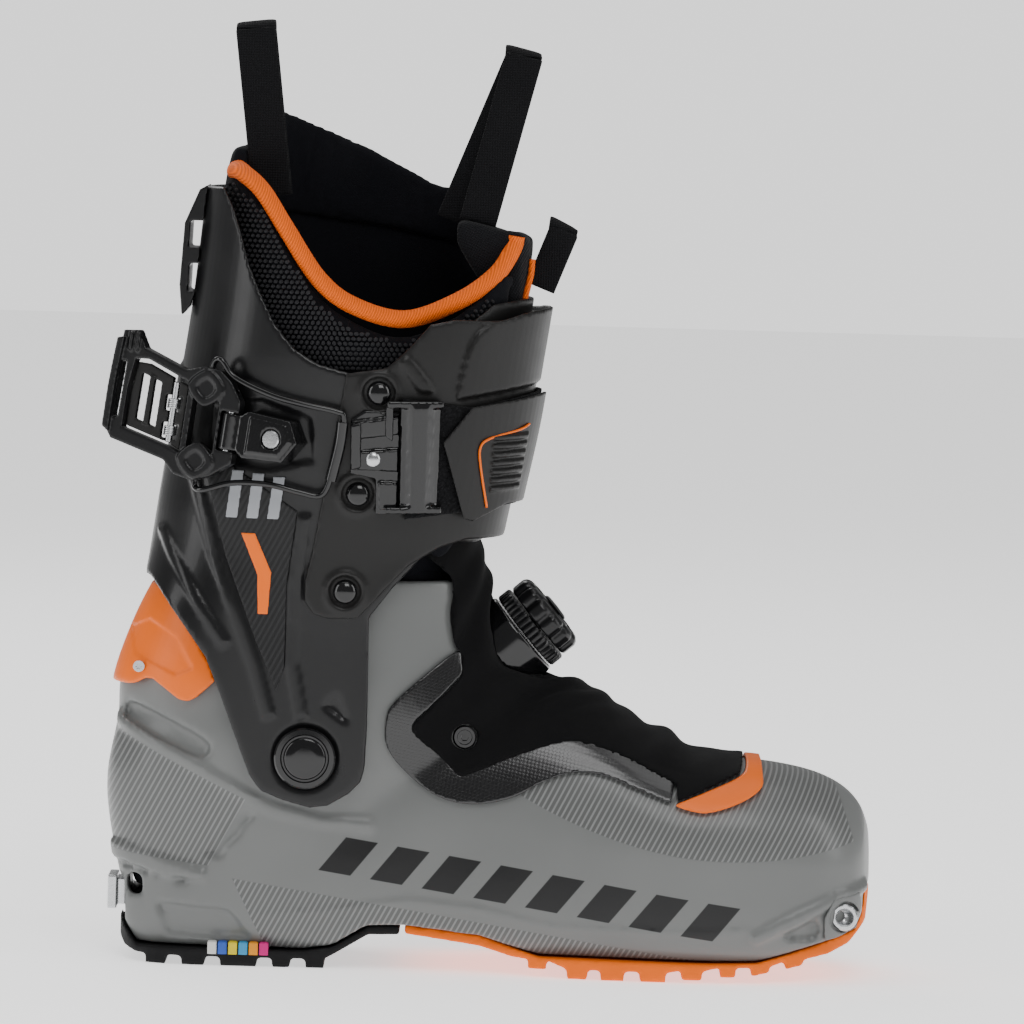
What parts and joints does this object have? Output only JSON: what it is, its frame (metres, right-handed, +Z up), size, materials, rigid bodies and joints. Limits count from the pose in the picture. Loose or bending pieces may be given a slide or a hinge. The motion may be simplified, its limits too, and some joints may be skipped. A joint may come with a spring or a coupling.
{
  "type": "ski touring boot",
  "caption": "Ski touring boot: rockered shell with gaiter and lace dial, pivoting cuff with a lever buckle and strap, and a padded liner with pull loops.",
  "frame": {"origin": "centre of the heel tread's flat rest face, on the ground", "axes": "+X towards the toe, +Z up, -Y the outer side of a right boot"},
  "size_m": [0.3005, 0.1225, 0.3647],
  "materials": {
    "grey_shell": "satin",
    "black_rubber": "matt",
    "orange_rubber": "matt",
    "steel": "satin",
    "orange_plastic": "satin",
    "black_plastic": "satin",
    "gloss_black": "gloss",
    "black_metal": "gloss",
    "gaiter_cloth": "matt stretch",
    "liner_cloth": "knit",
    "webbing": "woven",
    "orange_binding": "ribbed"
  },
  "bodies": {
    "shell": {"lower_shell": "grey_shell", "sole_heel": "black_rubber", "sole_front": "orange_rubber", "toe_fitting_outer": "steel", "toe_fitting_inner": "steel", "heel_fitting": "steel", "heel_link": "orange_plastic", "link_screw_outer": "steel", "link_screw_inner": "steel", "pivot_disc_outer": "gloss_black", "pivot_disc_inner": "gloss_black", "pivot_cap_outer": "gloss_black", "pivot_cap_inner": "gloss_black", "boot_board": "black_plastic", "liner_foot": "liner_cloth", "gaiter": "gaiter_cloth", "gaiter_trim_outer": "gloss_black", "gaiter_trim_inner": "gloss_black", "toe_guard": "orange_plastic", "gaiter_screw_outer": "steel", "gaiter_screw_inner": "steel", "dial_base": "gloss_black", "dial_ring": "black_plastic"},
    "cuff": {"cuff": "black_plastic", "front_flap": "black_plastic", "front_tongue": "black_plastic", "rear_spoiler": "black_plastic", "flap_rivet_top": "gloss_black", "flap_rivet_middle": "gloss_black", "flap_rivet_bottom": "gloss_black", "catch_plate": "black_metal", "strap_bar": "black_metal", "power_strap": "webbing", "strap_tab": "webbing", "strap_anchor": "black_plastic", "lever_base": "black_metal", "base_screw": "steel", "hinge_pin": "steel", "liner_cuff": "liner_cloth", "liner_tongue": "liner_cloth", "liner_collar": "liner_cloth", "liner_piping": "orange_binding", "rear_loop": "webbing", "front_loop": "webbing", "tab_loop": "webbing", "gaiter_top": "gaiter_cloth"},
    "lever": {"lever": "black_plastic", "lever_pin": "steel", "spring_upper": "steel", "spring_lower": "steel"},
    "latch": {"lever_inset": "black_plastic"},
    "bail": {"bail": "black_metal"},
    "dial_hub": {"dial_hub": "gloss_black"},
    "dial_knob": {"dial_knob": "black_plastic"}
  },
  "joints": [
    {"name": "cuff_pivot", "type": "hinge", "parent": "shell", "child": "cuff", "pos_m": [0.0242, 0, 0.083], "axis": [0, 1, 0], "range_deg": [-35, 8]},
    {"name": "buckle_lever", "type": "hinge", "parent": "cuff", "child": "lever", "pos_m": [-0.008, -0.05, 0.2078], "axis": [0.1305, 0, 0.9914], "range_deg": [0, 100]},
    {"name": "lever_latch", "type": "hinge", "parent": "lever", "child": "latch", "pos_m": [-0.03034, -0.04173, 0.21074], "axis": [0.1305, 0, 0.9914], "range_deg": [0, 10], "stiffness_Nm_per_rad": 0.05},
    {"name": "buckle_bail", "type": "hinge", "parent": "lever", "child": "bail", "pos_m": [-0.01777, -0.04638, 0.20909], "axis": [0.1305, 0, 0.9914], "range_deg": [-100, 0]},
    {"name": "dial_lift", "type": "slide", "parent": "shell", "child": "dial_hub", "axis": [0.766, 0, 0.6428], "range_m": [0, 0.003]},
    {"name": "dial_spin", "type": "hinge", "parent": "dial_hub", "child": "dial_knob", "pos_m": [0.1152, 0, 0.1366], "axis": [0.766, 0, 0.6428], "continuous": true}
  ],
  "couplings": [
    {"joint": "buckle_bail", "follows": "buckle_lever", "ratio": -1}
  ]
}
